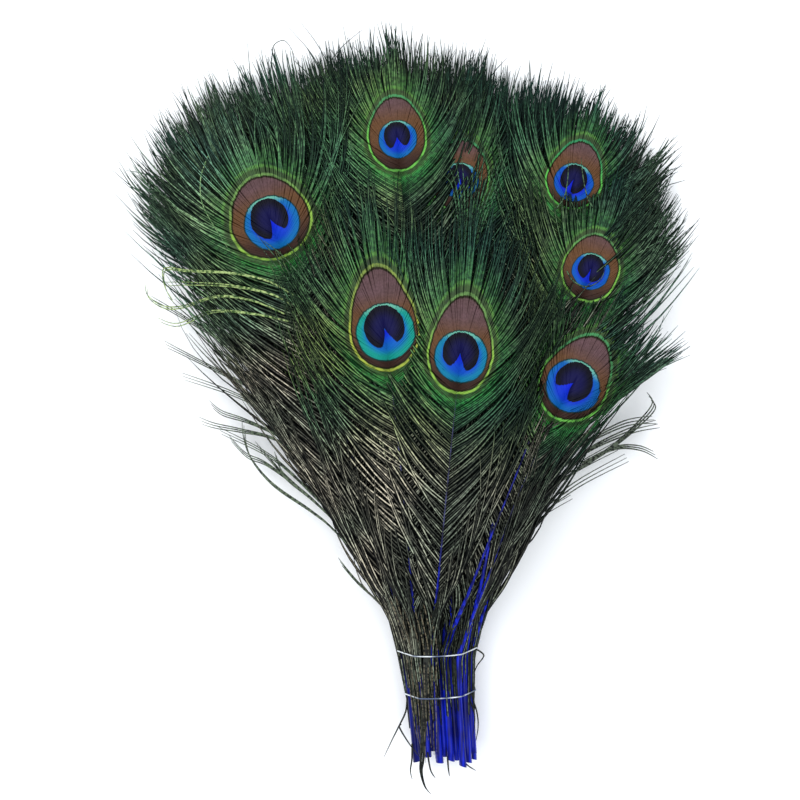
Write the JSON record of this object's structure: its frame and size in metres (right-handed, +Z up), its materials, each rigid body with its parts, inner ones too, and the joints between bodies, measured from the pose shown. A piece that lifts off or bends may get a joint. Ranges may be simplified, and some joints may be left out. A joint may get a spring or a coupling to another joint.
{
  "type": "tied bunch of peacock feathers",
  "caption": "Fan-shaped bunch of eyed peacock tail feathers with dyed blue quills, held by two thin bands and lying flat.",
  "frame": {"origin": "middle of the bunch's outline, on the surface it lies on", "axes": "+Y from the cut quill ends towards the feather tips, +Z up out of the surface, +X to the right seen from above"},
  "size_m": [0.2366, 0.2936, 0.043],
  "materials": {
    "feather": "iridescent green barbs with blue and bronze eyes, on quills dyed royal blue",
    "band": "pale translucent elastic thread"
  },
  "bodies": {
    "root": {"feather_01": "feather", "feather_02": "feather", "feather_03": "feather", "feather_04": "feather", "feather_05": "feather", "feather_06": "feather", "feather_07": "feather", "feather_08": "feather", "feather_09": "feather", "feather_10": "feather", "feather_11": "feather", "feather_12": "feather", "feather_13": "feather", "feather_14": "feather", "feather_15": "feather", "feather_16": "feather", "feather_17": "feather", "feather_18": "feather", "feather_19": "feather", "feather_20": "feather", "feather_21": "feather", "feather_22": "feather", "feather_23": "feather", "feather_24": "feather", "feather_25": "feather", "feather_26": "feather", "feather_27": "feather", "feather_28": "feather", "feather_29": "feather", "feather_30": "feather", "feather_31": "feather", "feather_32": "feather", "feather_33": "feather", "feather_34": "feather", "feather_35": "feather", "feather_36": "feather", "upper_band": "band", "lower_band": "band"}
  },
  "joints": []
}
